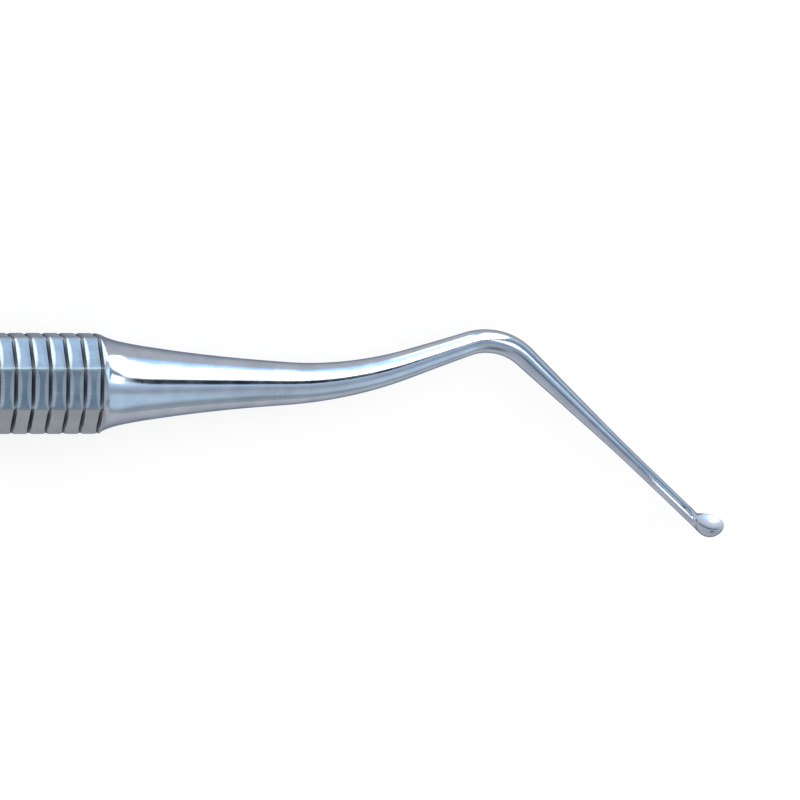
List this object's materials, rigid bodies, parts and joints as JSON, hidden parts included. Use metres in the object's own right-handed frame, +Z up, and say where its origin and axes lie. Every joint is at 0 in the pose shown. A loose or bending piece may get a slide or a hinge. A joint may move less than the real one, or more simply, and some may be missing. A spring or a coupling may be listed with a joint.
{
  "type": "dental excavator",
  "caption": "Double-ended spoon excavator: octagonal handle with cross-cut grip grooves, a flared tapering shank bent twice at each end and a small dished spoon at each tip.",
  "frame": {"origin": "middle of the handle's length and width, on the flat that the instrument lies on", "axes": "+X along the handle towards the end whose last leg turns to -Y, +Z up, out of the flat it lies on, square to the plane in which both shanks are bent"},
  "size_m": [0.174, 0.0196, 0.006],
  "materials": {
    "steel": "stainless steel, fine satin polish with brighter shanks and tips"
  },
  "bodies": {
    "root": {"excavator": "steel"}
  },
  "joints": []
}
